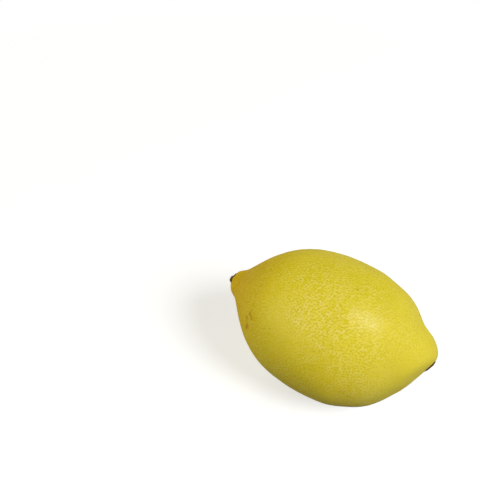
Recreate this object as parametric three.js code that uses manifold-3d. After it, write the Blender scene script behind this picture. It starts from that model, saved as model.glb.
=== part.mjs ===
// One whole lemon lying on its side, in millimetres, with +Z up.
// Its long axis runs along X: the stem end points to -X, the nipple end to +X.
import * as THREE from 'three';
import { mergeVertices } from 'three/addons/utils/BufferGeometryUtils.js';
import Module from 'manifold-3d';

// Driving dimensions of the fruit, measured from its widest place at x = 0
const bodyRadius = 30;
const stemHalf = { reach: 43.8, fullness: 2.49, taper: 1.3 };
const nippleHalf = { reach: 38.2, fullness: 3.05, taper: 1.78 };
const stemNeck = { start: 43.0, length: 6.2, radius: 6.9, flare: 0.31, roundness: 2, blend: 3.86 };
const nipple = { start: 35.4, length: 11.0, radius: 14.15, flare: 0.26, roundness: 1.61, blend: 2.75 };
const shoulder = { place: 20.6, spread: 5.6, depth: 0.67 };
const bellyBlend = 9;
const nippleLean = { start: 11.5, across: 1.43, up: 1.6 };
const stemLean = { start: 13, across: 0.24, up: 0.86 };

// Unevenness of the rind, as parts of its radius or in millimetres
const lumps = [
	{ waves: 2, depth: 0.005, phase: 0.9, twist: 0.012 },
	{ waves: 3, depth: 0.004, phase: 2.1, twist: -0.02 },
	{ waves: 5, depth: 0.0025, phase: 4.4, twist: 0.03 },
];
const stemFurrows = { count: 9, depth: 0.55, fade: 5.5, wander: 0.5 };
const nipplePleats = { count: 8, depth: 0.3, fade: 5, wander: 0.7 };
const stemDimple = { radius: 5.4, depth: 0.9 };
const grooveEnds = { none: 1, full: 6 };

// The slanting dried scar at the nipple, the calyx at the stem, and the spot that the fruit rests on
const scar = { centre: [ 43.1, 2.0, 0.7 ], droop: 20.4, turn: -14.7 };
const scarFace = { flat: 2, drop: 2.2, width: 8, lie: -46.6, lift: 0.6, softness: 0.2 };
const scarDisc = { radius: 3.15, corners: 0.06, nicks: 0.03, rim: 0.3, bulge: 0.35, sunk: 0.35 };
const scarPit = { depth: 0.25, radius: 0.75 };
const button = { radius: 3.7, lobes: 5, lobeDepth: 0.12, oval: 0.03, rim: 0.75, crown: 0.7, sunk: 1.0 };
const sepalRidge = 0.18;
const stalk = { radius: 1.65, height: 0.9, edge: 0.55, hollow: 0.3 };
const seatGap = 0.3;
const seatMouth = 4;
const restDepth = 0.5;

const sidesAround = 72;
const ringsAlong = 62;

const colours = { rind: '#e0cd45', button: '#4a4226', scar: '#3a2a14' };

function halfProfile( t, fullness, taper ) {

	const rest = 1 - Math.pow( Math.abs( t ), fullness );
	return Math.sign( rest ) * Math.pow( Math.abs( rest ), 1 / taper );

}

function softMax( a, b, blend ) {

	const larger = Math.max( a, b );
	return larger + blend * Math.log1p( Math.exp( - Math.abs( a - b ) / blend ) );

}

function softMin( a, b, softness ) {

	return ( a + b - Math.hypot( a - b, softness ) ) / 2;

}

function smoothStep( low, high, value ) {

	return THREE.MathUtils.smoothstep( value, low, high );

}

// A cone that flares towards the belly and closes in a rounded end
function endRadius( distance, end ) {

	const t = ( distance - end.start ) / end.length;
	return end.radius * ( t < 0 ? 1 - end.flare * t : halfProfile( t, end.roundness, end.roundness ) );

}

function profileRadius( x ) {

	const half = x < 0 ? stemHalf : nippleHalf;
	const belly = bodyRadius * halfProfile( x / half.reach, half.fullness, half.taper );
	const stemSide = softMax( belly, endRadius( - x, stemNeck ), stemNeck.blend );
	const nippleSide = softMax( belly, endRadius( x, nipple ), nipple.blend );
	const hollow = shoulder.depth * Math.exp( - Math.pow( ( x - shoulder.place ) / shoulder.spread, 2 ) );
	const radius = THREE.MathUtils.lerp( stemSide, nippleSide, smoothStep( - bellyBlend, bellyBlend, x ) );
	return Math.max( radius - hollow, 0 );

}

const stemTip = - ( stemNeck.start + stemNeck.length );
const nippleTip = nipple.start + nipple.length;

// Lengthwise grooves that fade away from one end of the fruit
function grooves( distance, angle, pattern ) {

	const wandering = angle + pattern.wander * Math.sin( angle + pattern.count );
	const groove = Math.pow( 0.5 + 0.5 * Math.cos( pattern.count * wandering ), 2 );
	return pattern.depth * groove * Math.exp( - distance / pattern.fade );

}

function rindRadius( x, angle ) {

	const swelling = ( lump ) => lump.depth * Math.cos( lump.waves * ( angle + lump.twist * x ) + lump.phase );
	const radius = profileRadius( x ) * lumps.reduce( ( scale, lump ) => scale + swelling( lump ), 1 );
	const cut = grooves( x - stemTip, angle, stemFurrows ) + grooves( nippleTip - x, angle, nipplePleats );
	return radius - cut * smoothStep( grooveEnds.none, grooveEnds.full, radius );

}

function leanAt( x, lean, tip ) {

	const beyond = Math.max( Math.abs( x ) - lean.start, 0 );
	const share = Math.min( beyond / ( Math.abs( tip ) - lean.start ), 1 );
	return [ lean.across * share * share, lean.up * share * share ];

}

const { degToRad } = THREE.MathUtils;
const scarTurn = new THREE.Euler( 0, degToRad( scar.droop ), degToRad( scar.turn ), 'ZYX' );
const scarNormal = new THREE.Vector3( 1, 0, 0 ).applyEuler( scarTurn );
const scarCentre = new THREE.Vector3( ...scar.centre );
const [ nippleAcross, nippleUp ] = leanAt( nipple.start, nippleLean, nippleTip );
const nippleHeart = new THREE.Vector3( nipple.start, nippleAcross, nippleUp );

const scarLie = degToRad( scarFace.lie );
const acrossFace = new THREE.Vector3( 0, Math.cos( scarLie ), Math.sin( scarLie ) );
acrossFace.projectOnPlane( scarNormal ).normalize();

// How far a point stands before the nipple's slanting face, flat at the scar and rounded off sideways
function beforeFace( point ) {

	const offset = point.clone().sub( scarCentre );
	const sideways = Math.max( Math.abs( acrossFace.dot( offset ) ) - scarFace.flat, 0 );
	const rounding = 1 - Math.exp( - Math.pow( sideways / scarFace.width, 2 ) );
	return scarNormal.dot( offset ) - scarFace.lift + scarFace.drop * rounding;

}

const farthestShare = 8;
const halvings = 30;

// Draws what stands before that face back onto it, along rays from inside the nipple
function trimmedAtScar( point ) {

	const ray = point.clone().sub( nippleHeart );
	const along = ( share ) => nippleHeart.clone().addScaledVector( ray, share );
	if ( scarNormal.dot( ray ) <= 0 ) return point;
	let near = 0;
	let far = farthestShare;
	for ( let halving = 0; halving < halvings; halving ++ ) {

		const middle = ( near + far ) / 2;
		if ( beforeFace( along( middle ) ) < 0 ) near = middle;
		else far = middle;

	}

	return along( softMin( 1, near, scarFace.softness ) );

}

function rindPoint( x, angle ) {

	const radius = rindRadius( x, angle );
	const [ across, up ] = x < 0 ? leanAt( x, stemLean, stemTip ) : leanAt( x, nippleLean, nippleTip );
	const dimple = x < 0 ? stemDimple.depth * ( 1 - smoothStep( 0, stemDimple.radius, radius ) ) : 0;
	const sideways = across + radius * Math.cos( angle );
	return trimmedAtScar( new THREE.Vector3( x + dimple, sideways, up + radius * Math.sin( angle ) ) );

}

// Closes a stack of rings with a point at each end; the rings run anticlockwise seen from the last one
function ringSolid( rings, firstPole, lastPole ) {

	const sides = rings[ 0 ].length;
	const points = [ firstPole, ...rings.flat(), lastPole ];
	const indices = [];
	for ( let side = 0; side < sides; side ++ ) {

		const next = ( side + 1 ) % sides;
		indices.push( 0, 1 + next, 1 + side );
		for ( let ring = 0; ring < rings.length - 1; ring ++ ) {

			const here = 1 + ring * sides;
			const above = here + sides;
			indices.push( here + side, here + next, above + next );
			indices.push( here + side, above + next, above + side );

		}

		const top = 1 + ( rings.length - 1 ) * sides;
		indices.push( top + side, top + next, points.length - 1 );

	}

	const geometry = new THREE.BufferGeometry().setFromPoints( points );
	geometry.setIndex( indices );
	return geometry;

}

function ringOf( sides, pointAt ) {

	return Array.from( { length: sides }, ( _, side ) => pointAt( 2 * Math.PI * side / sides ) );

}

function middleOf( ring ) {

	const sum = ring.reduce( ( total, point ) => total.add( point ), new THREE.Vector3() );
	return sum.divideScalar( ring.length );

}

function fruitGeometry() {

	const rings = [];
	const middle = ( stemTip + nippleTip ) / 2;
	const halfLength = ( nippleTip - stemTip ) / 2;
	for ( let ring = 1; ring < ringsAlong; ring ++ ) {

		const x = middle - halfLength * Math.cos( Math.PI * ring / ringsAlong );
		rings.push( ringOf( sidesAround, ( angle ) => rindPoint( x, angle ) ) );

	}

	return ringSolid( rings, middleOf( rings[ 0 ] ), middleOf( rings[ rings.length - 1 ] ) );

}

// A flat-bottomed disc with a free outline and a relief on top, standing on z = 0
function reliefDisc( outline, relief, sides, steps ) {

	const ringAt = ( share, height ) => ringOf( sides, ( angle ) => {

		const radius = share * outline( angle );
		const z = height( radius, angle );
		return new THREE.Vector3( radius * Math.cos( angle ), radius * Math.sin( angle ), z );

	} );
	const rings = [ ringAt( 1, () => 0 ) ];
	for ( let step = 0; step < steps; step ++ ) rings.push( ringAt( 1 - step / steps, relief ) );
	return ringSolid( rings, new THREE.Vector3(), new THREE.Vector3( 0, 0, relief( 0, 0 ) ) );

}

function scarOutline( angle ) {

	const unevenness = scarDisc.corners * Math.cos( 3 * angle + 1 ) + scarDisc.nicks * Math.cos( 7 * angle );
	return scarDisc.radius * ( 1 + unevenness );

}

function scarRelief( radius ) {

	const dome = scarDisc.bulge * Math.max( 1 - Math.pow( radius / scarDisc.radius, 2 ), 0 );
	const pit = scarPit.depth * Math.exp( - Math.pow( radius / scarPit.radius, 2 ) );
	return scarDisc.sunk + scarDisc.rim + dome - pit;

}

function buttonOutline( angle ) {

	const lobes = button.lobeDepth * ( Math.cos( button.lobes * angle ) - 1 );
	return button.radius * ( 1 + lobes + button.oval * Math.cos( 2 * angle ) );

}

function buttonRelief( radius, angle ) {

	const share = Math.min( radius / button.radius, 1 );
	const ridge = 1 + sepalRidge * share * Math.cos( button.lobes * angle );
	const sepals = button.rim + button.crown * ( 1 - share * share ) * ridge;
	const inner = stalk.radius - stalk.edge;
	const stalkRise = stalk.height * ( 1 - smoothStep( inner, stalk.radius + stalk.edge, radius ) );
	const core = stalk.hollow * ( 1 - smoothStep( 0, inner, radius ) );
	return button.sunk - stemDimple.depth + sepals + stalkRise - core;

}

const wasm = await Module();
wasm.setup();

function toSolid( geometry ) {

	const plain = geometry.clone();
	plain.deleteAttribute( 'normal' );
	plain.deleteAttribute( 'uv' );
	const merged = mergeVertices( plain );
	return new wasm.Manifold( new wasm.Mesh( {
		numProp: 3,
		vertProperties: merged.attributes.position.array,
		triVerts: merged.index.array,
	} ) );

}

function toGeometry( solid ) {

	const mesh = solid.getMesh();
	const geometry = new THREE.BufferGeometry();
	const positions = Float32Array.from( mesh.vertProperties );
	geometry.setAttribute( 'position', new THREE.BufferAttribute( positions, 3 ) );
	geometry.setIndex( new THREE.BufferAttribute( Uint32Array.from( mesh.triVerts ), 1 ) );
	geometry.computeVertexNormals();
	return geometry;

}

function facing( direction, place ) {

	const turn = new THREE.Quaternion().setFromUnitVectors( new THREE.Vector3( 0, 0, 1 ), direction );
	return new THREE.Matrix4().compose( place, turn, new THREE.Vector3( 1, 1, 1 ) );

}

// The seat that a disc lies in: its outline grown by the gap, open towards the outside
function seatCutter( outline, depth, sides, matrix ) {

	const grown = ( angle ) => outline( angle ) + seatGap;
	const cutter = reliefDisc( grown, () => depth + seatGap + seatMouth, sides, 2 );
	return toSolid( cutter.translate( 0, 0, - seatGap ).applyMatrix4( matrix ) );

}

const buttonPlace = new THREE.Vector3( stemTip + button.sunk, stemLean.across, stemLean.up );
const buttonSeat = facing( new THREE.Vector3( - 1, 0, 0 ), buttonPlace );
const scarSeat = facing( scarNormal, scarCentre.clone().addScaledVector( scarNormal, - scarDisc.sunk ) );
const buttonSides = 50;
const scarSides = 42;

function trimmedFruit() {

	const fruit = toSolid( fruitGeometry() );
	const lowest = fruit.boundingBox().min[ 2 ];
	const slabSize = 4 * bodyRadius;
	const slab = new THREE.BoxGeometry( slabSize, slabSize, slabSize );
	slab.translate( 0, 0, lowest + restDepth - slabSize / 2 );
	return fruit
		.subtract( seatCutter( buttonOutline, button.sunk, buttonSides, buttonSeat ) )
		.subtract( seatCutter( scarOutline, scarDisc.sunk, scarSides, scarSeat ) )
		.subtract( toSolid( slab ) );

}

function piece( name, geometry, colour, roughness, matrix = new THREE.Matrix4() ) {

	const material = new THREE.MeshStandardMaterial( { color: colour, roughness, metalness: 0 } );
	const mesh = new THREE.Mesh( geometry, material );
	mesh.name = name;
	mesh.applyMatrix4( matrix );
	return mesh;

}

const buttonGeometry = reliefDisc( buttonOutline, buttonRelief, buttonSides, 9 );
const scarGeometry = reliefDisc( scarOutline, scarRelief, scarSides, 6 );

const group = new THREE.Group();
group.add( piece( 'lemon', toGeometry( trimmedFruit() ), colours.rind, 0.42 ) );
group.add( piece( 'stem_button', buttonGeometry, colours.button, 0.85, buttonSeat ) );
group.add( piece( 'style_scar', scarGeometry, colours.scar, 0.8, scarSeat ) );

// The origin is under the middle of the fruit, on the surface that it rests on
const box = new THREE.Box3().setFromObject( group, true );
group.position.set( - ( box.min.x + box.max.x ) / 2, - ( box.min.y + box.max.y ) / 2, - box.min.z );

export default group;
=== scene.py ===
# A whole lemon lying on its side: pitted waxy rind, dry calyx at the stem, dried scar at the nipple
import math

import bpy
import numpy as np
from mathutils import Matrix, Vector


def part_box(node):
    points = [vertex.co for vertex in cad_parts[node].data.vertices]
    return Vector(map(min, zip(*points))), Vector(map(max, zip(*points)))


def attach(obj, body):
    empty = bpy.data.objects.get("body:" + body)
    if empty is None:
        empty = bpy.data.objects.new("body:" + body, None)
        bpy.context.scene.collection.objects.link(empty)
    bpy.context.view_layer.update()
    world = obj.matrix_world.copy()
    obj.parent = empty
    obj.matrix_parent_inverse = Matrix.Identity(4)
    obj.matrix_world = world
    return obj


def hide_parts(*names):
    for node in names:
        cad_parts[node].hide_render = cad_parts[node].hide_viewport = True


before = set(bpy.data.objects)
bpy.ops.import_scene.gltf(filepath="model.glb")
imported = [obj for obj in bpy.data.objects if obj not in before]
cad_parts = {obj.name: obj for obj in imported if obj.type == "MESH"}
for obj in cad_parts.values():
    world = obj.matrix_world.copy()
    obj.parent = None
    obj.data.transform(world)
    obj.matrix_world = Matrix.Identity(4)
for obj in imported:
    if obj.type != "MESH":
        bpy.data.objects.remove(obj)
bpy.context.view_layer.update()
mm = 0.001
white = (1, 1, 1, 1)
print("frame loaded")


# Node trees

class Wire:
    # one output socket, with arithmetic that adds Math nodes
    def __init__(self, nodes, socket):
        self.nodes = nodes
        self.socket = socket

    def math(self, operation, left, right):
        return self.nodes.add("ShaderNodeMath", {"operation": operation}, [left, right])

    def __add__(self, other):
        return self.math("ADD", self, other)

    def __sub__(self, other):
        return self.math("SUBTRACT", self, other)

    def __rsub__(self, other):
        return self.math("SUBTRACT", other, self)

    def __mul__(self, other):
        return self.math("MULTIPLY", self, other)

    def __truediv__(self, other):
        return self.math("DIVIDE", self, other)

    def __rtruediv__(self, other):
        return self.math("DIVIDE", other, self)

    def __pow__(self, other):
        return self.math("POWER", self, other)

    __radd__ = __add__
    __rmul__ = __mul__

    def atMost(self, other):
        return self.math("MINIMUM", self, other)


class Nodes:
    # a shader or geometry tree that is filled by one method
    def __init__(self, tree):
        self.tree = tree

    def add(self, kind, settings=None, inputs=None, output=0):
        node = self.tree.nodes.new(kind)
        for name, value in (settings or {}).items():
            setattr(node, name, value)
        sockets = [s for s in node.inputs if s.enabled]
        named = {s.name: s for s in reversed(sockets)}
        pairs = inputs.items() if isinstance(inputs, dict) else enumerate(inputs or [])
        for key, value in pairs:
            socket = named[key] if isinstance(key, str) else sockets[key]
            if isinstance(value, Wire):
                self.tree.links.new(value.socket, socket)
            else:
                socket.default_value = value
        outputs = [s for s in node.outputs if s.enabled]
        if isinstance(output, str):
            outputs, output = [s for s in outputs if s.name == output], 0
        return Wire(self, outputs[output]) if outputs else None

    def mix(self, factor, first, second):
        return self.add("ShaderNodeMix", {"data_type": "RGBA"}, {"Factor": factor, "A": first, "B": second})

    def step(self, value, low, high, start=0.0, end=1.0):
        # a smooth change from start to end while the value goes from low to high
        limits = {"Value": value, "From Min": low, "From Max": high, "To Min": start, "To Max": end}
        return self.add("ShaderNodeMapRange", {"interpolation_type": "SMOOTHSTEP"}, limits)

    def noise(self, coords, size, detail=2.0, roughness=0.5):
        looks = {"Vector": coords, "Scale": 1 / size, "Detail": detail, "Roughness": roughness}
        return self.add("ShaderNodeTexNoise", None, looks, "Fac")

    def part(self, vector, axis):
        return self.add("ShaderNodeSeparateXYZ", None, [vector], axis)

    def farFrom(self, coords, place):
        return self.add("ShaderNodeVectorMath", {"operation": "DISTANCE"}, [coords, place], "Value")

    def objectCoords(self):
        return self.add("ShaderNodeTexCoord", None, None, "Object")

    def bump(self, strength, distance, height):
        looks = {"Strength": strength, "Distance": distance * mm, "Height": height}
        return self.add("ShaderNodeBump", None, looks)


def linear(red, green, blue):
    # screen colour, 0 to 255, as linear light
    parts = [c / 255 for c in (red, green, blue)]
    return tuple(c / 12.92 if c < 0.04045 else ((c + 0.055) / 1.055) ** 2.4 for c in parts) + (1.0,)


def newMaterial(name):
    made = bpy.data.materials.new(name)
    made.use_nodes = True
    made.node_tree.nodes.clear()
    return made, Nodes(made.node_tree)


def finishMaterial(nodes, inputs):
    shader = nodes.add("ShaderNodeBsdfPrincipled", None, inputs)
    nodes.add("ShaderNodeOutputMaterial", None, {"Surface": shader})


def meshObject(name, points, faces):
    mesh = bpy.data.meshes.new(name)
    mesh.from_pydata(points.tolist(), [], faces)
    mesh.validate()
    made = bpy.data.objects.new(name, mesh)
    bpy.context.scene.collection.objects.link(made)
    return made


def setPiece(piece, node):
    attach(piece, "root")
    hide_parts(node)


# Form of the fruit, in millimetres from the widest place of its axis

fruit = {
    "bodyRadius": 30,
    "stemHalf": {"reach": 43.8, "fullness": 2.49, "taper": 1.3},
    "nippleHalf": {"reach": 38.2, "fullness": 3.05, "taper": 1.78},
    "stemNeck": {"start": 43.0, "length": 6.2, "radius": 6.9, "flare": 0.31, "roundness": 2, "blend": 3.86},
    "nipple": {"start": 35.4, "length": 11.0, "radius": 14.15, "flare": 0.26, "roundness": 1.61, "blend": 2.75},
    "shoulder": {"place": 20.6, "spread": 5.6, "depth": 0.67},
    "bellyBlend": 9,
    "nippleLean": {"start": 11.5, "across": 1.43, "up": 1.6},
    "stemLean": {"start": 13, "across": 0.24, "up": 0.86},
    # waves, depth, phase, twist
    "lumps": [(2, 0.005, 0.9, 0.012), (3, 0.004, 2.1, -0.02), (5, 0.0025, 4.4, 0.03)],
    "stemFurrows": {"count": 9, "depth": 0.55, "fade": 5.5, "wander": 0.5},
    "nipplePleats": {"count": 8, "depth": 0.3, "fade": 5, "wander": 0.7},
    "grooveFade": (1, 6),  # radii between which the grooves run out at the tips
    "stemDimple": {"radius": 5.4, "depth": 0.9},
    "scarCentre": (43.1, 2.0, 0.7),
    "scarDroop": 20.4,
    "scarTurn": -14.7,
    "scarFace": {"flat": 2, "drop": 2.2, "width": 8, "lie": -46.6, "lift": 0.6, "softness": 0.2},
    "restSoftness": 0.12,
    "axisPlace": (2.936, 0.088, 29.724),
}
axisPlace = np.array(fruit["axisPlace"])
stemTip = -(fruit["stemNeck"]["start"] + fruit["stemNeck"]["length"])
nippleTip = fruit["nipple"]["start"] + fruit["nipple"]["length"]
stemEnd = np.array([stemTip, fruit["stemLean"]["across"], fruit["stemLean"]["up"]])
scarCentre = np.array(fruit["scarCentre"])


def halfProfile(t, fullness, taper):
    rest = 1 - np.abs(t) ** fullness
    return np.sign(rest) * np.abs(rest) ** (1 / taper)


def softMax(a, b, blend):
    return np.maximum(a, b) + blend * np.log1p(np.exp(-np.abs(a - b) / blend))


def softMin(a, b, softness):
    return (a + b - np.hypot(a - b, softness)) / 2


def smoothStep(low, high, value):
    t = np.clip((value - low) / (high - low), 0, 1)
    return t * t * (3 - 2 * t)


def endRadius(distance, end):
    t = (distance - end["start"]) / end["length"]
    rounded = halfProfile(t, end["roundness"], end["roundness"])
    return end["radius"] * np.where(t < 0, 1 - end["flare"] * t, rounded)


def profileRadius(x):
    stemHalf, nippleHalf = fruit["stemHalf"], fruit["nippleHalf"]
    stemBelly = halfProfile(x / stemHalf["reach"], stemHalf["fullness"], stemHalf["taper"])
    nippleBelly = halfProfile(x / nippleHalf["reach"], nippleHalf["fullness"], nippleHalf["taper"])
    belly = fruit["bodyRadius"] * np.where(x < 0, stemBelly, nippleBelly)
    stemSide = softMax(belly, endRadius(-x, fruit["stemNeck"]), fruit["stemNeck"]["blend"])
    nippleSide = softMax(belly, endRadius(x, fruit["nipple"]), fruit["nipple"]["blend"])
    share = smoothStep(-fruit["bellyBlend"], fruit["bellyBlend"], x)
    shoulder = fruit["shoulder"]
    hollow = shoulder["depth"] * np.exp(-((x - shoulder["place"]) / shoulder["spread"]) ** 2)
    return np.maximum(stemSide + (nippleSide - stemSide) * share - hollow, 0)


def grooves(distance, angle, pattern):
    wandering = angle + pattern["wander"] * np.sin(angle + pattern["count"])
    groove = (0.5 + 0.5 * np.cos(pattern["count"] * wandering)) ** 2
    return pattern["depth"] * groove * np.exp(-distance / pattern["fade"])


def rindRadius(x, angle):
    swelling = sum(depth * np.cos(waves * (angle + twist * x) + phase)
                   for waves, depth, phase, twist in fruit["lumps"])
    radius = profileRadius(x) * (1 + swelling)
    cut = grooves(x - stemTip, angle, fruit["stemFurrows"]) + grooves(nippleTip - x, angle, fruit["nipplePleats"])
    return radius - cut * smoothStep(*fruit["grooveFade"], radius)


def leanAt(x, lean, tip):
    share = np.clip((np.abs(x) - lean["start"]) / (abs(tip) - lean["start"]), 0, 1) ** 2
    return lean["across"] * share, lean["up"] * share


droop, turn, lie = (math.radians(a) for a in (fruit["scarDroop"], fruit["scarTurn"], fruit["scarFace"]["lie"]))
scarNormal = np.array([math.cos(droop) * math.cos(turn), math.cos(droop) * math.sin(turn), -math.sin(droop)])
acrossFace = np.array([0, math.cos(lie), math.sin(lie)])
acrossFace -= scarNormal * acrossFace.dot(scarNormal)
acrossFace /= np.linalg.norm(acrossFace)
nippleStart = fruit["nipple"]["start"]
nippleHeart = np.array([nippleStart, *leanAt(nippleStart, fruit["nippleLean"], nippleTip)])


def beforeFace(points):
    face = fruit["scarFace"]
    offset = points - scarCentre
    sideways = np.maximum(np.abs(offset @ acrossFace) - face["flat"], 0)
    return offset @ scarNormal - face["lift"] + face["drop"] * (1 - np.exp(-(sideways / face["width"]) ** 2))


def trimmedAtScar(points, longestRay=8.0, halvings=30):
    # draws what stands before the slanting face back onto it, along rays from inside the nipple
    rays = points - nippleHeart
    near = np.zeros(len(points))
    far = np.full(len(points), longestRay)
    for _ in range(halvings):
        middle = (near + far) / 2
        inside = beforeFace(nippleHeart + rays * middle[:, None]) < 0
        near = np.where(inside, middle, near)
        far = np.where(inside, far, middle)
    share = np.where(rays @ scarNormal > 0, softMin(1, near, fruit["scarFace"]["softness"]), 1)
    return nippleHeart + rays * share[:, None]


def rindPoints(x, angle):
    radius = rindRadius(x, angle)
    stemLean = leanAt(x, fruit["stemLean"], stemTip)
    nippleLean = leanAt(x, fruit["nippleLean"], nippleTip)
    across, up = (np.where(x < 0, stem, tip) for stem, tip in zip(stemLean, nippleLean))
    dimple = fruit["stemDimple"]
    sunk = np.where(x < 0, dimple["depth"] * (1 - smoothStep(0, dimple["radius"], radius)), 0)
    return trimmedAtScar(np.stack([x + sunk, across + radius * np.cos(angle), up + radius * np.sin(angle)], -1))


def cubeSphere(count):
    # unit directions on an even grid of squares without poles, and its faces
    line = np.tan(np.linspace(-1, 1, count + 1) * math.pi / 4)
    u, v = np.meshgrid(line, line, indexing="ij")
    one = np.ones_like(u)
    sides = [(one, u, v), (-one, v, u), (v, one, u), (u, -one, v), (u, v, one), (v, u, -one)]
    points = np.concatenate([np.stack([c.ravel() for c in side], -1) for side in sides])
    corner = np.arange(count * (count + 1)).reshape(count, count + 1)[:, :-1].ravel()
    squares = np.stack([corner, corner + count + 1, corner + count + 2, corner + 1], -1)
    faces = np.concatenate([squares + side * (count + 1) ** 2 for side in range(6)])
    _, first, merged = np.unique(np.round(points, 6), axis=0, return_index=True, return_inverse=True)
    points = points[first]
    return points / np.linalg.norm(points, axis=1)[:, None], merged.ravel()[faces]


# Rind: lengths in millimetres, and ranges as low, high and what each of them gives

rind = {
    "squares": 127,  # along each edge of the cube that becomes the rind
    "tipShare": 0.99999,  # how near the last points come to the tips
    "boxGap": 0.01,
    "glandSpacing": 0.98,
    "glandRadius": 0.61,
    "glandDepth": 0.14,
    "glandSeed": 7,
    "glandDensity": 4e6,  # most points for a square metre
    "glandSizes": (0.72, 0.36),  # the smallest share, and what luck adds
    "glandStrengths": (0.7, 0.3),
    "wobble": {"size": 0.9, "least": 0.6, "most": 0.8},
    "cup": (0.1, 1.0, 1.0, 0.0),
    "brimRise": (0.65, 1.15),
    "brimFall": (1.25, 1.9, 1.0, 0.0),
    "brimHeight": 0.25,
    "nippleFade": {"before": 8, "after": 7, "strength": 0.5},
    "patches": {"size": 16, "range": (0.3, 0.65, 0.55, 1.0)},
    "brokenBrims": {"size": 1.5, "range": (0.32, 0.6, 0.3, 1.0)},
    "pebbleSize": 7.0,
    "pebbleHeight": 0.16,
    "pebbleRoughness": 0.55,
    "pebbleLevel": 0.75,  # noise above it stays level, so nothing stands proud
    "aboveRest": (0.05, 1.2),  # heights over which the relief begins above the flat
    "ground": linear(228, 210, 50),
    "gland": linear(212, 197, 2),
    "brim": linear(240, 224, 126),
    "ripe": linear(228, 198, 8),
    "golden": linear(226, 188, 5),
    "goldenPit": linear(212, 171, 2),
    "goldenBrim": linear(236, 206, 16),
    "green": linear(208, 196, 16),
    "grain": {"size": 0.9, "roughness": 0.6},
    "pitEdge": {"grain": 0.25, "range": (0.03, 0.5)},
    "brimEdge": {"grain": 0.3, "range": (0.1, 1.05)},
    # the spot round which the pale brims and flecks are strongest: painted sheen on the lit side, with the
    # distances over which it fades
    "sheenSpot": {"place": (8.0, 128.0), "near": 9, "far": 29, "farShare": 0.55},
    "flecks": {"size": 0.5, "range": (0.5, 0.75, 0.0, 0.5)},
    "warmPatches": {"size": 14, "range": (0.45, 0.75, 0.0, 0.2)},
    "greenPatches": {"size": 22, "range": (0.5, 0.8, 0.0, 0.2)},
    "nippleEnd": {"from": 10, "to": 32, "paleness": 0.1},
    "stemEnd": {"fromTip": 4, "to": -14, "goldness": 0.85},
    "ragged": {"size": 1.1, "roughness": 0.7},
    "scuff": {"paint": linear(178, 112, 1), "raggedness": 1.3, "fade": (0.1, 1.4, 0.6, 0.0)},
    "speck": {"paint": linear(112, 88, 4), "raggedness": 0.5, "fade": (0.4, 1.2, 0.55, 0.0)},
    "stemDarkRing": {"paint": linear(96, 66, 20), "raggedness": 2.2, "fade": (3.6, 5.6, 0.85, 0.0)},
    "scarHalo": {"paint": linear(178, 112, 1), "raggedness": 1.2, "fade": (3.1, 4.3, 0.75, 0.0)},
    "pores": {"size": 0.55, "range": (0.0, 0.5)},
    "bump": {"strength": 0.42, "distance": 0.06, "grain": 0.5, "pores": 0.4, "brims": 0.6},
    "roughness": {"plain": 0.36, "pits": 0.12, "brims": 0.08, "grain": 0.12},
    "scatter": {"weight": 0.12, "radius": (1.0, 0.75, 0.2), "scale": 1.2},
    # place along the axis, degrees around it and radius of each mark
    "specks": [(11.6, 98.6, 0.42), (-13.0, 154.4, 0.4), (-9.8, 109.9, 0.35), (4.0, 300.0, 0.4),
               (-20.0, 30.0, 0.45), (22.0, 215.0, 0.4), (17.0, 12.0, 0.35), (-6.0, 236.0, 0.5), (-30.0, 75.0, 0.4)],
    "scuffs": [(-25.0, 154.9, 1.3), (-23.6, 157.5, 0.9), (-25.3, 168.9, 1.6), (-26.6, 161.8, 1.2),
               (-26.0, 172.5, 1.0), (8.0, 322.0, 1.5), (9.6, 325.0, 1.0), (-16.0, 10.0, 1.2)],
}


def smoothRind():
    directions, faces = cubeSphere(rind["squares"])
    middle, halfLength = (stemTip + nippleTip) / 2, (nippleTip - stemTip) / 2
    x = middle + halfLength * directions[:, 0] * rind["tipShare"]
    points = rindPoints(x, np.arctan2(directions[:, 2], directions[:, 1])) + axisPlace
    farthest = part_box("lemon")[1][0] / mm - rind["boxGap"]
    points[:, 0] *= np.where(points[:, 0] > 0, min(farthest / points[:, 0].max(), 1), 1)
    points[:, 2] = (points[:, 2] + np.hypot(points[:, 2], fruit["restSoftness"])) / 2
    print("rind", len(points), "points")
    return meshObject("rind", points * mm, faces.tolist())


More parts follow.
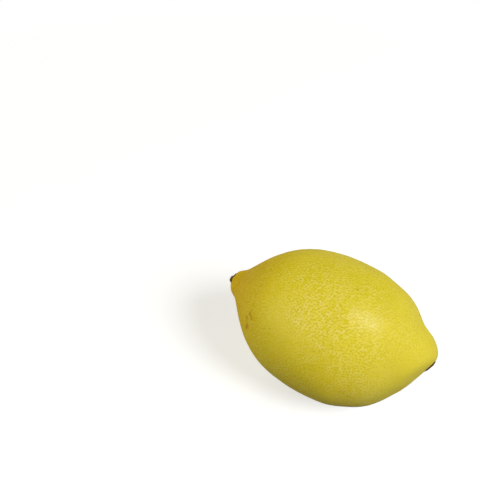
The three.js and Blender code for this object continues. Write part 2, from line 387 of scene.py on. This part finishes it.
def glandTree():
    # pits the rind with oil glands, each in a raised brim, and leaves both as attributes for the colour
    tree = bpy.data.node_groups.new("oil glands", "GeometryNodeTree")
    face = tree.interface
    face.new_socket("Geometry", in_out="INPUT", socket_type="NodeSocketGeometry")
    for name in ("Spacing", "Gland Radius", "Gland Depth", "Pebble Size", "Pebble Height", "Nipple Start"):
        face.new_socket(name, in_out="INPUT", socket_type="NodeSocketFloat")
    face.new_socket("Seed", in_out="INPUT", socket_type="NodeSocketInt")
    face.new_socket("Skin", in_out="INPUT", socket_type="NodeSocketMaterial")
    face.new_socket("Geometry", in_out="OUTPUT", socket_type="NodeSocketGeometry")
    nodes = Nodes(tree)
    group = tree.nodes.new("NodeGroupInput")
    given = {s.name: Wire(nodes, s) for s in group.outputs}

    def patches(look, detail=2.0):
        return nodes.step(nodes.noise(place, look["size"] * mm, detail), *look["range"])

    def stored(geometry, name, value):
        kind = {"data_type": "FLOAT", "domain": "POINT"}
        values = {"Geometry": geometry, "Name": name, "Value": value}
        return nodes.add("GeometryNodeStoreNamedAttribute", kind, values)

    place = nodes.add("GeometryNodeInputPosition")
    normal = nodes.add("GeometryNodeInputNormal")
    scatter = {"Mesh": given["Geometry"], "Distance Min": given["Spacing"],
               "Density Max": rind["glandDensity"], "Seed": given["Seed"]}
    centres = nodes.add("GeometryNodeDistributePointsOnFaces", {"distribute_method": "POISSON"}, scatter)
    around = {"Geometry": centres, "Sample Position": place}
    own = {"Geometry": centres, "Index": nodes.add("GeometryNodeSampleNearest", {"domain": "POINT"}, around)}
    centre = nodes.add("GeometryNodeSampleIndex", {"data_type": "FLOAT_VECTOR"}, {**own, "Value": place})
    zeroToOne = {"Min": 0.0, "Max": 1.0, "Seed": given["Seed"]}
    chance = nodes.add("FunctionNodeRandomValue", {"data_type": "FLOAT"}, zeroToOne)
    luck = nodes.add("GeometryNodeSampleIndex", {"data_type": "FLOAT"}, {**own, "Value": chance})

    smallest, sizeLuck = rind["glandSizes"]
    faintest, strengthLuck = rind["glandStrengths"]
    wobble = nodes.noise(place, rind["wobble"]["size"] * mm)
    size = given["Gland Radius"] * (smallest + luck * sizeLuck)
    uneven = rind["wobble"]["least"] + wobble * rind["wobble"]["most"]
    distance = nodes.farFrom(place, centre) / size * uneven
    cup = nodes.step(distance, *rind["cup"])
    brim = nodes.step(distance, *rind["brimRise"]) * nodes.step(distance, *rind["brimFall"])
    fade = rind["nippleFade"]
    fadeStart, fadeEnd = given["Nipple Start"] - fade["before"] * mm, given["Nipple Start"] + fade["after"] * mm
    faded = nodes.step(nodes.part(place, "X"), fadeStart, fadeEnd, 1.0, fade["strength"])
    pitted = faded * patches(rind["patches"])
    strength = cup * pitted * (faintest + luck * strengthLuck)
    raised = brim * pitted * patches(rind["brokenBrims"], 1.0)

    unevenness = nodes.noise(place, given["Pebble Size"], roughness=rind["pebbleRoughness"])
    pebble = (unevenness - rind["pebbleLevel"]).atMost(0.0) * given["Pebble Height"]
    low, high = rind["aboveRest"]
    free = nodes.step(nodes.part(place, "Z"), low * mm, high * mm)
    sunk = (strength + rind["brimHeight"] - raised * rind["brimHeight"]) * given["Gland Depth"]
    lift = (pebble - sunk) * free
    offset = nodes.add("ShaderNodeVectorMath", {"operation": "SCALE"}, {"Vector": normal, "Scale": lift})
    marked = stored(stored(given["Geometry"], "gland", strength), "brim", raised)
    moved = nodes.add("GeometryNodeSetPosition", None, {"Geometry": marked, "Offset": offset})
    smooth = nodes.add("GeometryNodeSetShadeSmooth", None, {"Geometry": moved})
    real = nodes.add("GeometryNodeRealizeInstances", None, [smooth])
    coated = nodes.add("GeometryNodeSetMaterial", None, {"Geometry": real, "Material": given["Skin"]})
    nodes.add("NodeGroupOutput", None, [coated])
    return tree


def applyTree(piece, tree, values):
    # runs the tree on the piece and keeps the result as its plain mesh
    modifier = piece.modifiers.new(tree.name, "NODES")
    modifier.node_group = tree
    for item in tree.interface.items_tree:
        if item.in_out == "INPUT" and item.name in values:
            modifier[item.identifier] = values[item.name]
    graph = bpy.context.evaluated_depsgraph_get()
    shown = piece.evaluated_get(graph)
    piece.data = bpy.data.meshes.new_from_object(shown, preserve_all_data_layers=True, depsgraph=graph)
    piece.modifiers.remove(modifier)


def onRind(along, around):
    point = rindPoints(np.array([float(along)]), np.array([math.radians(around)]))[0]
    return tuple((point + axisPlace) * mm)


def rindMaterial():
    skin, nodes = newMaterial("lemon rind")
    coords = nodes.objectCoords()
    along = nodes.part(coords, "X")
    gland, brim = (nodes.add("ShaderNodeAttribute", {"attribute_name": name}, None, "Fac")
                   for name in ("gland", "brim"))
    grain = nodes.noise(coords, rind["grain"]["size"] * mm, 3.0, rind["grain"]["roughness"])
    ragged = nodes.noise(coords, rind["ragged"]["size"] * mm, 3.0, rind["ragged"]["roughness"])

    def patches(look, detail=2.0):
        return nodes.step(nodes.noise(coords, look["size"] * mm, detail), *look["range"])

    def grained(value, look):
        return nodes.step(value + (grain - 0.5) * look["grain"], *look["range"])

    def withMark(under, place, look, radius=1):
        distance = nodes.farFrom(coords, place) / (radius * mm) + (ragged - 0.5) * look["raggedness"]
        return nodes.mix(nodes.step(distance, *look["fade"]), under, look["paint"])

    # yellow ground, deeper in the pits and pale on the brims; the pale brims and flecks are the rind's own paler
    # network, and their strength round one spot on the lit side, fading away from it, is painted sheen
    spot = rind["sheenSpot"]
    fromSpot = nodes.farFrom(coords, onRind(*spot["place"]))
    paintedSheen = nodes.step(fromSpot, spot["near"] * mm, spot["far"] * mm, 1.0, spot["farShare"])
    inPit = grained(gland, rind["pitEdge"])
    brimAndSheen = grained(brim, rind["brimEdge"]) * paintedSheen
    pale = nodes.mix(brimAndSheen, nodes.mix(inPit, rind["ground"], rind["gland"]), rind["brim"])
    golden = nodes.mix(brimAndSheen, nodes.mix(inPit, rind["golden"], rind["goldenPit"]), rind["goldenBrim"])
    # pale flecks, also strongest round that spot: painted sheen
    pale = nodes.mix(patches(rind["flecks"]) * paintedSheen, pale, rind["brim"])
    colour = nodes.mix(patches(rind["warmPatches"], 3.0), pale, rind["ripe"])
    end = rind["nippleEnd"]
    paleStart, paleEnd = (axisPlace[0] + end["from"]) * mm, (axisPlace[0] + end["to"]) * mm
    colour = nodes.mix(nodes.step(along, paleStart, paleEnd, 0.0, end["paleness"]), colour, rind["brim"])
    colour = nodes.mix(patches(rind["greenPatches"]), colour, rind["green"])
    end = rind["stemEnd"]
    goldStart, goldEnd = (axisPlace[0] + stemTip + end["fromTip"]) * mm, (axisPlace[0] + end["to"]) * mm
    colour = nodes.mix(nodes.step(along, goldStart, goldEnd, end["goldness"], 0.0), colour, golden)

    for alongAxis, around, radius in rind["scuffs"]:
        colour = withMark(colour, onRind(alongAxis, around), rind["scuff"], radius)
    for alongAxis, around, radius in rind["specks"]:
        colour = withMark(colour, onRind(alongAxis, around), rind["speck"], radius)
    # a dark brown ring on the rind round the calyx, over the sunken dimple at the stem
    colour = withMark(colour, tuple((stemEnd + axisPlace) * mm), rind["stemDarkRing"])
    colour = withMark(colour, tuple((scarCentre + axisPlace) * mm), rind["scarHalo"])

    poreLooks = {"Vector": coords, "Scale": 1 / (rind["pores"]["size"] * mm)}
    cells = nodes.add("ShaderNodeTexVoronoi", {"feature": "F1"}, poreLooks, "Distance")
    pores = nodes.step(cells, *rind["pores"]["range"])
    bump, rough, scatter = rind["bump"], rind["roughness"], rind["scatter"]
    height = grain * bump["grain"] + pores * bump["pores"] + brimAndSheen * bump["brims"]
    roughness = rough["plain"] + gland * rough["pits"] - brimAndSheen * rough["brims"] + (grain - 0.5) * rough["grain"]
    finishMaterial(nodes, {
        "Base Color": colour,
        "Roughness": roughness,
        "Normal": nodes.bump(bump["strength"], bump["distance"], height),
        "IOR": 1.45,
        "Subsurface Weight": scatter["weight"],
        "Subsurface Radius": scatter["radius"],
        "Subsurface Scale": scatter["scale"] * mm,
    })
    return skin


rindPiece = smoothRind()
applyTree(rindPiece, glandTree(), {
    "Spacing": rind["glandSpacing"] * mm,
    "Gland Radius": rind["glandRadius"] * mm,
    "Gland Depth": rind["glandDepth"] * mm,
    "Pebble Size": rind["pebbleSize"] * mm,
    "Pebble Height": rind["pebbleHeight"] * mm,
    "Nipple Start": (nippleStart + axisPlace[0]) * mm,
    "Seed": rind["glandSeed"],
    "Skin": rindMaterial(),
})
setPiece(rindPiece, "lemon")
print("rind pitted", len(rindPiece.data.polygons), "faces")


# Calyx and scar: closed discs with a free outline and a relief, set into the rind

def reliefPiece(name, look, outline, relief, place, facing, sideways, crowding=1.2):
    # rings of points from the foot over the edge to the middle, closer together where the edge falls off
    sides, steps, foot = look["sides"], look["steps"], look["foot"]
    angle = np.arange(sides) * 2 * math.pi / sides
    rim = outline(angle)
    rings = [np.stack([rim * np.cos(angle), rim * np.sin(angle), np.full(sides, -foot)], -1)]
    for step in range(steps):
        share = 1 - (step / steps) ** crowding
        radius = share * rim
        rings.append(np.stack([radius * np.cos(angle), radius * np.sin(angle), relief(radius, angle, share)], -1))
    middle = np.array([[0, 0, -foot], [0, 0, float(relief(0.0, 0.0, 0.0))]])
    points = np.concatenate(rings + [middle])
    points = np.array(place) + points @ np.array([sideways, np.cross(facing, sideways), facing])
    side = np.arange(sides)
    after = (side + 1) % sides
    faces = []
    for ring in range(steps):
        here, above = ring * sides, (ring + 1) * sides
        faces += np.stack([here + side, here + after, above + after, above + side], -1).tolist()
    bottom, top = len(points) - 2, len(points) - 1
    faces += np.stack([np.full(sides, bottom), after, side], -1).tolist()
    faces += np.stack([steps * sides + side, steps * sides + after, np.full(sides, top)], -1).tolist()
    made = meshObject(name, points * mm, faces)
    made.data.shade_smooth()
    return made


def ripple(angle, radius, seed, coarse=3):
    # uneven swelling between -1 and 1, the same on each run; each wave has a count, a drift and a size
    waves = [(coarse, 0.0, 1.0), (coarse * 2 + 1, 0.7, 0.6),
             (coarse * 4 - 1, 1.3, 0.4), (coarse * 7 + 2, 2.1, 0.25)]
    total = sum(size * np.sin(count * angle + seed * (k + 1.7) + radius * drift * 2)
                for k, (count, drift, size) in enumerate(waves))
    return total / sum(size for _, _, size in waves)


calyx = {
    "radius": 3.7, "foot": 0.75, "sides": 200, "steps": 56, "sunk": 1.0,
    "sepals": 5, "sepalWander": 0.07, "notch": 0.26, "notchCurve": 0.75, "raggedEdge": 0.02,
    "edgeHeight": 0.2, "bodyHeight": 1.2, "bodyCurve": 1.8, "edgeDrop": 0.55,
    "ridge": 0.22, "ridgeSharpness": 8, "valley": 0.3, "wrinkle": 0.06,
    "collar": {"radius": 2.15, "width": 0.28, "height": 0.16},
    "stalkRadius": 1.6, "stalkHeight": 2.25, "stalkWaver": 0.08, "tear": 0.13,
    "pithRadius": 0.55, "pithDepth": 0.35,
    "sepal": linear(118, 104, 56), "sepalDark": linear(70, 55, 28), "sepalPale": linear(160, 146, 92),
    "wood": linear(172, 144, 96), "woodDark": linear(84, 64, 38),
    "blotchSize": 1.3, "blotches": (0.38, 0.62), "grainSize": 0.28, "paleGrain": (0.5, 0.75, 0.0, 0.5),
    "darkEdge": (2.7, 3.6, 0.0, 0.75), "woodGrain": (0.35, 0.65), "pithShade": (0.35, 0.7, 0.8, 0.0),
    "stalkEdge": (1.35, 1.8), "stalkRagged": 0.4,
    "bumpStrength": 0.5, "bumpDistance": 0.12, "bumpBlotches": 0.5,
    "roughness": 0.78, "roughGrain": 0.2, "specular": 0.35,
}


def calyxLobe(angle):
    wandering = angle + calyx["sepalWander"] * np.sin(2 * angle + 1)
    return np.abs(np.cos(calyx["sepals"] / 2 * wandering))


def calyxOutline(angle):
    notch = calyx["notch"] * (1 - calyxLobe(angle) ** calyx["notchCurve"])
    return calyx["radius"] * (1 - notch + calyx["raggedEdge"] * ripple(angle, 0, 3.0, 4))


def calyxRelief(radius, angle, share):
    lobe = calyxLobe(angle)
    body = calyx["edgeHeight"] + calyx["bodyHeight"] * (1 - share ** calyx["bodyCurve"])
    onSepal = smoothStep(0.2, 0.5, share) * (1 - smoothStep(0.85, 1, share))
    ridge = calyx["ridge"] * lobe ** calyx["ridgeSharpness"] * onSepal
    valley = calyx["valley"] * (1 - lobe) ** 2 * smoothStep(0.4, 0.85, share)
    wrinkles = calyx["wrinkle"] * ripple(angle, radius, 1.0, 9) * smoothStep(0.1, 0.5, share)
    collar = calyx["collar"]
    collar = collar["height"] * np.exp(-((radius - collar["radius"]) / collar["width"]) ** 2)
    sepals = body + ridge - valley + wrinkles + collar
    torn = calyx["tear"] * ripple(angle, radius * 3, 5.0, 5) * smoothStep(0.2, 0.9, radius)
    pith = calyx["pithDepth"] * (1 - smoothStep(0.1, calyx["pithRadius"] + 0.25, radius))
    stalkTop = calyx["stalkHeight"] + torn - pith
    waver = calyx["stalkWaver"] * ripple(angle, 0, 2.0, 4)
    pastStalk = smoothStep(calyx["stalkRadius"] - 0.28, calyx["stalkRadius"] + 0.3, radius + waver)
    return stalkTop + (sepals - stalkTop) * pastStalk - calyx["edgeDrop"] * smoothStep(0.9, 1.0, share)


def calyxMaterial():
    made, nodes = newMaterial("dried calyx")
    coords = nodes.objectCoords()
    centre = tuple(np.array(calyxPlace) * mm)
    shifted = nodes.add("ShaderNodeVectorMath", {"operation": "SUBTRACT"}, [coords, centre])
    across, up = nodes.part(shifted, "Y"), nodes.part(shifted, "Z")
    radius = (across * across + up * up) ** 0.5 / mm
    blotches = nodes.noise(coords, calyx["blotchSize"] * mm, 4.0, 0.65)
    grain = nodes.noise(coords, calyx["grainSize"] * mm, 3.0, 0.6)
    sepals = nodes.mix(nodes.step(blotches, *calyx["blotches"]), calyx["sepalDark"], calyx["sepal"])
    sepals = nodes.mix(nodes.step(grain, *calyx["paleGrain"]), sepals, calyx["sepalPale"])
    sepals = nodes.mix(nodes.step(radius + (grain - 0.5), *calyx["darkEdge"]), sepals, calyx["sepalDark"])
    wood = nodes.mix(nodes.step(grain, *calyx["woodGrain"]), calyx["woodDark"], calyx["wood"])
    wood = nodes.mix(nodes.step(radius, *calyx["pithShade"]), wood, calyx["woodDark"])
    edge = nodes.step(radius + (grain - 0.5) * calyx["stalkRagged"], *calyx["stalkEdge"])
    height = grain + blotches * calyx["bumpBlotches"]
    finishMaterial(nodes, {
        "Base Color": nodes.mix(edge, wood, sepals),
        "Roughness": calyx["roughness"] + (grain - 0.5) * calyx["roughGrain"],
        "Normal": nodes.bump(calyx["bumpStrength"], calyx["bumpDistance"], height),
        "Specular IOR Level": calyx["specular"],
    })
    return made


calyxPlace = axisPlace + stemEnd + np.array([calyx["sunk"], 0, 0])
calyxPiece = reliefPiece("calyx", calyx, calyxOutline, calyxRelief, calyxPlace,
                         facing=np.array([-1.0, 0, 0]), sideways=np.array([0, 1.0, 0]))
calyxPiece.data.materials.append(calyxMaterial())
setPiece(calyxPiece, "stem_button")
print("calyx set")


scar = {
    "radius": 3.1, "foot": 0.6, "sides": 180, "steps": 48, "sunk": 0.35,
    "rim": 0.14, "bulge": 0.56, "edgeDrop": 0.5, "raggedEdge": 0.02,
    "outlineWaves": [(3, 0.05, 1), (7, 0.025, 0)],  # count, size, phase
    "cracks": 7, "crackDepth": 0.2, "crackSharpness": 10,
    "ringHeight": 0.05, "ringPace": 6.5, "crumbs": 0.05, "pitDepth": 0.3, "pitRadius": 0.7,
    "dark": linear(38, 25, 14), "brown": linear(92, 63, 32), "tan": linear(150, 120, 72),
    "blotchSize": 1.0, "blotches": (0.4, 0.66), "grainSize": 0.25, "paleGrain": (0.5, 0.75, 0.0, 0.6),
    "bumpStrength": 0.5, "bumpDistance": 0.12, "bumpBlotches": 0.6,
    "roughness": 0.72, "roughGrain": 0.25, "specular": 0.4,
}


def scarOutline(angle):
    waves = sum(size * np.cos(count * angle + phase) for count, size, phase in scar["outlineWaves"])
    return scar["radius"] * (1 + waves + scar["raggedEdge"] * ripple(angle, 0, 6.0, 8))


def scarRelief(radius, angle, share):
    wander = np.sin(3 * angle)
    dome = scar["sunk"] + scar["rim"] + scar["bulge"] * (1 - share ** 2)
    splits = (0.5 + 0.5 * np.cos(scar["cracks"] * angle + 0.9 * wander + radius * 0.7)) ** scar["crackSharpness"]
    cracks = scar["crackDepth"] * splits * smoothStep(0.2, 0.45, share) * (1 - smoothStep(0.8, 0.95, share))
    rings = scar["ringHeight"] * np.sin(radius * scar["ringPace"] + 1.2 * wander) * (1 - share * 0.5)
    pit = scar["pitDepth"] * np.exp(-(radius / scar["pitRadius"]) ** 2)
    crumbs = scar["crumbs"] * ripple(angle, radius * 4, 9.0, 7) * smoothStep(0.1, 0.4, share)
    return dome - cracks + rings - pit + crumbs - scar["edgeDrop"] * smoothStep(0.92, 1.0, share)


def scarMaterial():
    made, nodes = newMaterial("dried scar")
    coords = nodes.objectCoords()
    blotches = nodes.noise(coords, scar["blotchSize"] * mm, 4.0, 0.65)
    grain = nodes.noise(coords, scar["grainSize"] * mm, 3.0, 0.6)
    colour = nodes.mix(nodes.step(blotches, *scar["blotches"]), scar["dark"], scar["brown"])
    height = grain + blotches * scar["bumpBlotches"]
    finishMaterial(nodes, {
        "Base Color": nodes.mix(nodes.step(grain, *scar["paleGrain"]), colour, scar["tan"]),
        "Roughness": scar["roughness"] + (grain - 0.5) * scar["roughGrain"],
        "Normal": nodes.bump(scar["bumpStrength"], scar["bumpDistance"], height),
        "Specular IOR Level": scar["specular"],
    })
    return made


scarPlace = axisPlace + scarCentre - scarNormal * scar["sunk"]
scarPiece = reliefPiece("nipple_scar", scar, scarOutline, scarRelief, scarPlace,
                        facing=scarNormal, sideways=acrossFace)
scarPiece.data.materials.append(scarMaterial())
setPiece(scarPiece, "style_scar")
print("scar set")


# Camera, lights and floor; angles in degrees, around from the front and up, and sizes in metres

studio = {
    "camera": {"fromAxis": (66.93, -161.18, 173.52), "azimuth": 34.87, "elevation": 37,
               "lens": 42.75, "sensor": 36},
    "lightDistance": 2.0,
    "lightAim": (0, 0, 0.03),
    "sky": {"strength": 0.09, "colour": (1, 0.93, 0.6, 1)},
    "floorSize": 6,
    "floorGlow": 0.62,
    "floorFade": (0.15, 0.7),  # distances over which the paper turns to plain white
    "paper": (0.5, 0.51, 0.55, 1),
    "paperBounce": (0.1, 0.094, 0.1, 1),
    "paperSheen": (0.3, 0.29, 0.19, 1),
}
lights = {  # power in watts; each light shows in the paint of a piece, in its gloss, or in both
    "key": {"azimuth": 82, "elevation": 41, "size": 0.9, "power": 36.5, "tint": (1, 1, 1), "reach": "paint"},
    "fill": {"azimuth": -32, "elevation": 27, "size": 2.2, "power": 12.5, "tint": (1, 0.94, 0.66), "reach": "both"},
    "gleam": {"azimuth": 75, "elevation": 61, "size": 0.4, "power": 11, "tint": (1, 1, 1), "reach": "gloss"},
    "back": {"azimuth": 196, "elevation": 6, "size": 0.9, "power": 22, "tint": (1, 0.94, 0.72), "reach": "paint"},
    "side": {"azimuth": 262, "elevation": 5, "size": 1.0, "power": 12.5, "tint": (1, 0.92, 0.5), "reach": "paint"},
    "low": {"azimuth": 314, "elevation": 3, "size": 1.0, "power": 12.5, "tint": (1, 0.92, 0.5), "reach": "paint"},
}


def towards(azimuth, elevation):
    around, up = math.radians(azimuth), math.radians(elevation)
    return Vector((math.sin(around) * math.cos(up), -math.cos(around) * math.cos(up), math.sin(up)))


def addCamera(look):
    camera = bpy.data.cameras.new("camera")
    camera.lens = look["lens"]
    camera.sensor_width = look["sensor"]
    camera.clip_start = 0.01
    made = bpy.data.objects.new("camera", camera)
    bpy.context.scene.collection.objects.link(made)
    made.location = Vector(axisPlace + np.array(look["fromAxis"])) * mm
    made.rotation_euler = (math.radians(90 - look["elevation"]), 0, math.radians(look["azimuth"]))
    bpy.context.scene.camera = made


def addLight(name, look):
    light = bpy.data.lights.new(name, "AREA")
    light.shape = "DISK"
    light.size = look["size"]
    light.energy = look["power"]
    light.color = look["tint"]
    made = bpy.data.objects.new(name, light)
    bpy.context.scene.collection.objects.link(made)
    facing = towards(look["azimuth"], look["elevation"])
    made.location = Vector(studio["lightAim"]) + facing * studio["lightDistance"]
    made.rotation_euler = facing.to_track_quat("Z", "Y").to_euler()
    made.visible_glossy = look["reach"] != "paint"
    made.visible_diffuse = look["reach"] != "gloss"


def addFloor():
    # the eye sees white paper, the rind's sheen a warmer one, and its shaded side a darker one
    half = studio["floorSize"] / 2
    corners = np.array([(-half, -half, 0), (half, -half, 0), (half, half, 0), (-half, half, 0)])
    floor = meshObject("floor", corners, [(0, 1, 2, 3)])
    paint, nodes = newMaterial("white paper")
    seen = nodes.add("ShaderNodeLightPath", None, None, "Is Camera Ray")
    mirrored = nodes.add("ShaderNodeLightPath", None, None, "Is Glossy Ray")
    bounce, paper, sheen = (nodes.add("ShaderNodeBsdfDiffuse", None, {"Color": studio[name]})
                            for name in ("paperBounce", "paper", "paperSheen"))
    glow = nodes.add("ShaderNodeEmission", None, {"Color": white, "Strength": studio["floorGlow"]})
    near = nodes.add("ShaderNodeAddShader", None, [paper, glow])
    far = nodes.add("ShaderNodeEmission", None, {"Color": white, "Strength": 1.0})
    distance = nodes.step(nodes.farFrom(nodes.objectCoords(), (0, 0, 0)), *studio["floorFade"])
    bright = nodes.add("ShaderNodeMixShader", None, [distance, near, far])
    unseen = nodes.add("ShaderNodeMixShader", None, [mirrored, bounce, sheen])
    both = nodes.add("ShaderNodeMixShader", None, [seen, unseen, bright])
    nodes.add("ShaderNodeOutputMaterial", None, {"Surface": both})
    floor.data.materials.append(paint)


def setWorld(sky):
    world = bpy.data.worlds.new("studio")
    world.use_nodes = True
    world.node_tree.nodes.clear()
    nodes = Nodes(world.node_tree)
    seen = nodes.add("ShaderNodeLightPath", None, None, "Is Camera Ray")
    dim = nodes.add("ShaderNodeBackground", None, {"Color": sky["colour"], "Strength": sky["strength"]})
    plain = nodes.add("ShaderNodeBackground", None, {"Color": white, "Strength": 1.0})
    both = nodes.add("ShaderNodeMixShader", None, [seen, dim, plain])
    nodes.add("ShaderNodeOutputWorld", None, {"Surface": both})
    bpy.context.scene.world = world


addCamera(studio["camera"])
for lightName, lightLook in lights.items():
    addLight(lightName, lightLook)
addFloor()
setWorld(studio["sky"])
bpy.context.scene.view_settings.view_transform = "Standard"
print("studio set")
